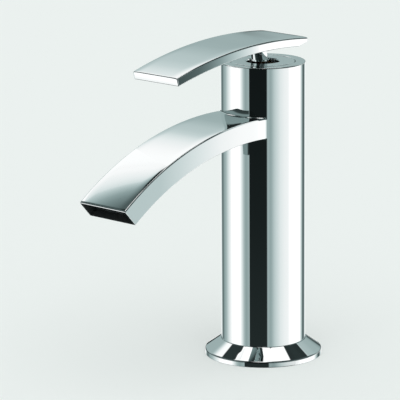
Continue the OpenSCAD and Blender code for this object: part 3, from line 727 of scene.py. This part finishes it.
# Floor
# A pale matt surface that the mixer stands on, which takes its soft shadow. The chrome doesn't mirror it,
# but the ground of the studio below.
floor_half = 9000
pale = (0.831, 0.880, 0.863)
floor_points = np.array([[-1, -1, 0], [1, -1, 0], [1, 1, 0], [-1, 1, 0]], float) * floor_half
floor_material, _, floor_shader, _ = finish_nodes("pale_floor")
floor_shader.inputs["Base Color"].default_value = (*pale, 1)
floor_shader.inputs["Roughness"].default_value = 1
floor_shader.inputs["Specular IOR Level"].default_value = 0
floor = skin("floor", floor_points, np.array([[0, 1, 2, 3]]), [floor_material])
floor.visible_glossy = False

# Light
# Even light from all sides, and a wide soft lamp high up on the camera's side, so that the shadow is
# faint. The chrome doesn't mirror the lamp.
lamp_share = 0.22
lamp_tilt = 30
lamp_wide = 60
lamp_data = bpy.data.lights.new("soft_lamp", "SUN")
lamp_data.energy = lamp_share * math.pi
lamp_data.angle = math.radians(lamp_wide)
lamp = bpy.data.objects.new("soft_lamp", lamp_data)
lamp.rotation_euler = (math.radians(lamp_tilt), 0, math.radians(camera_at))
lamp.visible_glossy = False
bpy.context.scene.collection.objects.link(lamp)

# Studio seen in the chrome
# White panels and grey and black screens stand round the mixer. At its own height they make upright bands,
# higher up they lie in tiers, and the camera itself sees only the pale backdrop.
# Stops of the bands are in degrees to the right of the camera, and those of the tiers in degrees above the
# horizon. Those of beneath are in how far a direction points to the camera's right, and those of
# before_column run from 0 to 1 over the heights in column_seen. With each goes its tone.
even_light = 1 - lamp_share * math.cos(math.radians(lamp_tilt))
white = 1.1
black = 0.0116
chrome_tone = 0.925
cool_share = 0.7
cool_power = 1.5
beside_left = [(-180, 0.98), (-169, 0.98), (-160, 0.78), (-152, 0.30), (-146, 0.12), (-139, 0.22),
               (-133, 0.35), (-121, 0.46), (-109, 0.74), (-97, 0.98), (-96, white), (-67, white),
               (-60, 0.78), (-54, 0.48), (-48, 0.34), (-42, 0.38), (-38, 0.43), (-37.5, black), (0, black)]
beside_right = [(0, black), (10, black), (12, 0.42), (20, 0.36), (24, 0.415), (30, 0.55), (36, 0.64),
                (42, 0.71), (48, 0.79), (60, 0.865), (72, 0.90), (80, white), (119, white), (123, 0.90),
                (128, 0.66), (133, 0.38), (139, 0.12), (143, 0.08), (148, 0.14), (156, 0.62), (166, 0.95),
                (180, 0.98)]
underfoot = [(-180, 0.12), (-156, 0.12), (-150, 0.02), (-120, 0.02), (-114, 0.12), (-78, 0.12), (-70, 0.26),
             (-45, 0.26), (-39, 0.02), (10, 0.02), (20, 0.12), (180, 0.12)]
beneath_edge = -0.3
beneath = [(beneath_edge, 0.11), (-0.25, 0.11), (-0.19, 0.19), (-0.155, 0.26), (-0.12, 0.17), (-0.09, 0.03),
           (0, 0.03)]
above_back = [(0, 0.03), (0.3, 0.03), (1, 0.36), (3, 0.405), (6, 0.41), (16, 0.41), (19, 0.425),
              (22, 0.485), (24, 0.53), (27, 0.565), (29, 0.63), (31, 0.75), (33, 0.84), (35, 0.89),
              (37, 0.94), (39, 0.975), (49, 0.98), (52, 0.1), (61, 0.1), (65, 0.85), (90, 0.95)]
above_far_left = [(0, 0.04), (5, 0.04), (10, 0.41), (28, 0.42), (30, 0.46), (32, 0.56), (34, 0.70),
                  (36, 0.83), (38, 0.94), (40, 0.98), (45.3, 0.98), (46.3, 0.033), (63.5, 0.033)]
above_left = above_far_left + [(64.5, white), (90, white)]
above_right = [(0, 0.04), (4, 0.04), (9, 0.33), (15, 0.41), (26, 0.43), (34, 0.48), (40, 0.49), (40.4, 0.57),
               (41.2, 0.57), (42, 0.03), (62.5, 0.03), (63.5, white), (90, white)]
above_front = [(0, 0.04), (5, 0.05), (8, 0.25), (18.5, 0.29), (20.5, 0.015), (31, 0.015), (34, 0.1),
               (44, 0.1), (48, 0.035), (90, 0.035)]
before_column = [(0, 0.022), (0.47, 0.0128), (1, 0.008)]
column_seen = (-0.272, -0.182)
before_boss = [(10, 0.02), (18, 0.02), (38, 0.1), (58, 0.06), (66, 0.06)]
behind_right = [(100, 0.8), (108, 0.95), (120, white), (150, 0.9), (172, 0.65), (180, 0.6)]
# Edges of the studio's parts. Three numbers are a middle, its reach and a soft rim, in shares of a full
# turn, with the camera at 0.5 and more to its right. Two are the start and end of a soft step: in such
# shares at the far left and the back, in how far a direction points to the camera's right in right_from,
# and otherwise in the sine of the angle above the horizon.
right_from = (-0.02, 0.02)
column_card = (0.4618, 0.0655, 0.0005)
over_card = (0.461, 0.066, 0.003)
far_left_to = (0.14, 0.15)
back_to = (0.05, 0.072)
back_from = (0.958, 0.972)
front_part = (0.5, 0.355, 0.01)
high_front_part = (0.672, 0.131, 0.006)
high_from = (0.82, 0.86)
overhead_from = (0.986, 0.99)
horizon_part = (0.875, 0.097, 0.01)
horizon_to = (-0.06, -0.02)
bands_to = (-0.168, -0.13)
boss_card = (0.606, 0.078, 0.004)
boss_card_to = (-0.27, -0.3)
ground_from = (-0.62, -0.69)
nadir_from = (-0.86, -0.9)
world = bpy.data.worlds.new("studio")
world.use_nodes = True
bpy.context.scene.world = world
tree = world.node_tree
tree.nodes.clear()


def ramp_of(tree, value, stops):
    """A colour ramp through (position, brightness) stops. Tones under white are cooler:
    red is v (c + (1 - c) v^p), with v the brightness over the chrome's own tone."""
    ramp = tree.nodes.new("ShaderNodeValToRGB")
    elements = ramp.color_ramp.elements
    elements.remove(elements[1])
    for number, (position, brightness) in enumerate(stops):
        element = elements[0] if number == 0 else elements.new(position)
        element.position = position
        v = brightness / chrome_tone
        element.color = (v * (cool_share + (1 - cool_share) * min(v, 1) ** cool_power), v, v, 1)
    tree.links.new(value, ramp.inputs["Fac"])
    return ramp.outputs["Color"]


def span_of(tree, value, start, end):
    """Carries start..end to 0..1."""
    span = tree.nodes.new("ShaderNodeMapRange")
    span.inputs["From Min"].default_value = start
    span.inputs["From Max"].default_value = end
    tree.links.new(value, span.inputs["Value"])
    return span.outputs["Result"]


def step_of(tree, value, start, end):
    """A smooth step from 0 to 1 between start and end."""
    share = span_of(tree, value, start, end)
    share.node.interpolation_type = "SMOOTHSTEP"
    return share


def within(tree, value, middle, reach, soft):
    """A share that is 1 within reach of middle and falls to 0 over soft."""
    off = tree.nodes.new("ShaderNodeMath")
    off.operation = "SUBTRACT"
    off.inputs[1].default_value = middle
    away = tree.nodes.new("ShaderNodeMath")
    away.operation = "ABSOLUTE"
    tree.links.new(value, off.inputs[0])
    tree.links.new(off.outputs[0], away.inputs[0])
    return step_of(tree, away.outputs[0], reach + soft, reach)


def blend_of(tree, share, one, other):
    """Mixes two colours by a share: one (1 - share) + other share. The node's colours are its sockets
    6 and 7, and its output 2."""
    mix = tree.nodes.new("ShaderNodeMix")
    mix.data_type = "RGBA"
    tree.links.new(share, mix.inputs["Factor"])
    tree.links.new(one, mix.inputs[6])
    tree.links.new(other, mix.inputs[7])
    return mix.outputs[2]


def shader_of(tree, share, one, other):
    """Mixes two shaders by a share: one (1 - share) + other share."""
    mix = tree.nodes.new("ShaderNodeMixShader")
    for output, socket in zip((share, one, other), mix.inputs):
        tree.links.new(output, socket)
    return mix.outputs[0]


def worked_out(tree, operation, one, other, clamped=False):
    """Works one value out of two by an operation, clamped to 0..1 where asked."""
    node = tree.nodes.new("ShaderNodeMath")
    node.operation = operation
    node.use_clamp = clamped
    tree.links.new(one, node.inputs[0])
    tree.links.new(other, node.inputs[1])
    return node.outputs[0]


def along(tree, place, way):
    """How far a place lies along a way: their dot product."""
    product = tree.nodes.new("ShaderNodeVectorMath")
    product.operation = "DOT_PRODUCT"
    product.inputs[1].default_value = way
    tree.links.new(place, product.inputs[0])
    return product.outputs["Value"]


def tier(stops):
    """Turns stops in degrees above the horizon into stops in the sine of that angle."""
    return [(math.sin(math.radians(angle)), tone) for angle, tone in stops]


def bearing_of(stops):
    """Turns stops in degrees to the right of the camera's bearing into stops from 0 to 1 all round."""
    return [(angle / 360 + 0.5, tone) for angle, tone in stops]


direction = tree.nodes.new("ShaderNodeTexCoord").outputs["Generated"]
turned_to_camera = tree.nodes.new("ShaderNodeMapping")
turned_to_camera.inputs["Rotation"].default_value = (0, 0, math.radians(90 - camera_at))
tree.links.new(direction, turned_to_camera.inputs["Vector"])
bearing = tree.nodes.new("ShaderNodeTexGradient")
bearing.gradient_type = "RADIAL"
tree.links.new(turned_to_camera.outputs["Vector"], bearing.inputs["Vector"])
split = tree.nodes.new("ShaderNodeSeparateXYZ")
tree.links.new(turned_to_camera.outputs["Vector"], split.inputs["Vector"])
height = split.outputs["Z"]
side = bearing.outputs["Fac"]
on_right = step_of(tree, split.outputs["Y"], *right_from)
around = blend_of(tree, on_right, ramp_of(tree, side, bearing_of(beside_left)),
                  ramp_of(tree, side, bearing_of(beside_right)))
card = ramp_of(tree, span_of(tree, height, *column_seen), before_column)
bands = blend_of(tree, within(tree, side, *column_card), around, card)
back_tiers = ramp_of(tree, height, tier(above_back))
far_left_tiers = ramp_of(tree, height, tier(above_far_left))
left_tiers = blend_of(tree, step_of(tree, side, *far_left_to), far_left_tiers,
                      ramp_of(tree, height, tier(above_left)))
left_sky = blend_of(tree, step_of(tree, side, *back_to), back_tiers, left_tiers)
right_tiers = ramp_of(tree, height, tier(above_right))
right_sky = blend_of(tree, step_of(tree, side, *back_from), right_tiers, back_tiers)
side_sky = blend_of(tree, on_right, left_sky, right_sky)
front_tiers = ramp_of(tree, height, tier(above_front))
front_sky = blend_of(tree, within(tree, side, *over_card), front_tiers, bands)
high_sky = blend_of(tree, within(tree, side, *high_front_part), side_sky, front_sky)
top_sky = blend_of(tree, step_of(tree, height, *overhead_from), high_sky, side_sky)
camera_sky = blend_of(tree, step_of(tree, height, *high_from), front_sky, top_sky)
upper_sky = blend_of(tree, within(tree, side, *front_part), side_sky, camera_sky)
horizon = blend_of(tree, within(tree, side, *horizon_part), upper_sky,
                   ramp_of(tree, side, bearing_of(behind_right)))
sky = blend_of(tree, step_of(tree, height, *horizon_to), horizon, upper_sky)
nadir = ramp_of(tree, span_of(tree, split.outputs["Y"], beneath_edge, 0),
                [(1 - y / beneath_edge, tone) for y, tone in beneath])
ground = blend_of(tree, step_of(tree, height, *nadir_from),
                  ramp_of(tree, side, bearing_of(underfoot)), nadir)
boss_bands = blend_of(tree, within(tree, side, *boss_card), bands,
                      ramp_of(tree, side, bearing_of(before_boss)))
low_bands = blend_of(tree, step_of(tree, height, *boss_card_to), bands, boss_bands)
low = blend_of(tree, step_of(tree, height, *ground_from), low_bands, ground)
studio = blend_of(tree, step_of(tree, height, *bands_to), low, sky)
# The camera sees the backdrop, a shiny ray that has met no matt face sees the studio, and all else gets
# even light.
rays = tree.nodes.new("ShaderNodeLightPath")
seen = tree.nodes.new("ShaderNodeBackground")
seen.inputs["Color"].default_value = (*pale, 1)
mirrored = tree.nodes.new("ShaderNodeBackground")
tree.links.new(studio, mirrored.inputs["Color"])
soft = tree.nodes.new("ShaderNodeBackground")
soft.inputs["Color"].default_value = (1, 1, 1, 1)
soft.inputs["Strength"].default_value = even_light
shiny = worked_out(tree, "MAXIMUM", rays.outputs["Is Glossy Ray"], rays.outputs["Is Transmission Ray"])
only_shiny = worked_out(tree, "SUBTRACT", shiny, rays.outputs["Diffuse Depth"], clamped=True)
unseen = shader_of(tree, only_shiny, soft.outputs[0], mirrored.outputs[0])
whole = shader_of(tree, rays.outputs["Is Camera Ray"], unseen, seen.outputs[0])
tree.links.new(whole, tree.nodes.new("ShaderNodeOutputWorld").inputs["Surface"])

# Screens close to the mixer
# One stands to the right, for the right-hand faces of spout and lever, and fades away from the column. Two
# stand left of the spout's end, one over the other: the lower one's tones lie along a slant for the
# spout's bent end, and the upper one is dark. From behind, and past a first mirroring, none is there.
beside_y = -20
beside_x = (18, 140)
beside_z = (40, 176)
between_levels = (134, 140)
by_spout = [(18, 1), (22, 0.97), (33, 0.94), (45, 0.89), (60, 0.78), (76, 0.67), (91, 0.57), (110, 0.56),
            (140, 0.56)]
by_lever = [(18, 0.95), (21, 0.86), (24, 0.77), (32, 0.60), (39.5, 0.456), (47, 0.30), (55, 0.19),
            (62.5, 0.127), (70, 0.102), (76, 0.087), (140, 0.087)]
over_x = -80
over_lean = math.radians(42)
over_y = (-125, -45)
over_z = (168, 225)
over_up = (155, 251)
above_y = (-170, -85)
above_z = (225, 430)
above_tone = (0.06, 0.08, 0.08, 1)
over_spout = [(155, 0.99), (177, 0.99), (183, 0.98), (187, 0.95), (192, 0.944), (195, 0.91), (198, 0.88),
              (201, 0.849), (204, 0.799), (207, 0.728), (209, 0.60), (212, 0.477), (216, 0.346), (221, 0.251),
              (229, 0.146), (236, 0.10), (251, 0.10)]


def one_sided(name, start, end, levels):
    """A glowing upright screen from start to end, between two levels. Only shiny faces in front of it see
    it, and only directly: it is clear from behind and at a ray's second mirroring. Returns its nodes, its
    coordinates and the colour that it glows in."""
    material = bpy.data.materials.new(name)
    material.use_nodes = True
    tree = material.node_tree
    tree.nodes.clear()
    glow = tree.nodes.new("ShaderNodeEmission")
    again = span_of(tree, tree.nodes.new("ShaderNodeLightPath").outputs["Glossy Depth"], 1, 2)
    behind = tree.nodes.new("ShaderNodeNewGeometry").outputs["Backfacing"]
    clear = tree.nodes.new("ShaderNodeBsdfTransparent").outputs[0]
    shown = shader_of(tree, worked_out(tree, "MAXIMUM", again, behind), glow.outputs[0], clear)
    tree.links.new(shown, tree.nodes.new("ShaderNodeOutputMaterial").inputs["Surface"])
    low, high = levels
    corners = np.array([(*start, low), (*end, low), (*end, high), (*start, high)], float)
    screen = skin(name, corners, np.array([[0, 1, 2, 3]]), [material])
    screen.visible_camera = False
    screen.visible_diffuse = False
    screen.visible_shadow = False
    return tree, tree.nodes.new("ShaderNodeTexCoord").outputs["Object"], glow.inputs["Color"]


def shares(stops, ends):
    """Turns stops in millimetres into stops from 0 to 1 between two ends."""
    return [((at - ends[0]) / (ends[1] - ends[0]), tone) for at, tone in stops]


beside, beside_place, beside_glow = one_sided("screen_beside", (beside_x[0], beside_y),
                                              (beside_x[1], beside_y), beside_z)
outward = span_of(beside, along(beside, beside_place, (1, 0, 0)), beside_x[0] * mm, beside_x[1] * mm)
at_lever = step_of(beside, along(beside, beside_place, (0, 0, 1)), between_levels[0] * mm,
                   between_levels[1] * mm)
beside.links.new(blend_of(beside, at_lever, ramp_of(beside, outward, shares(by_spout, beside_x)),
                          ramp_of(beside, outward, shares(by_lever, beside_x))), beside_glow)
over, over_place, over_glow = one_sided("screen_over_spout", (over_x, over_y[0]), (over_x, over_y[1]), over_z)
slanting = along(over, over_place, (0, -math.sin(over_lean), math.cos(over_lean)))
upward = span_of(over, slanting, over_up[0] * mm, over_up[1] * mm)
over.links.new(ramp_of(over, upward, shares(over_spout, over_up)), over_glow)
_, _, above_glow = one_sided("screen_above_spout", (over_x, above_y[0]), (over_x, above_y[1]), above_z)
above_glow.default_value = above_tone

# Picture
# The picture is shown as it is lit.
scene = bpy.context.scene
scene.view_settings.view_transform = "Standard"
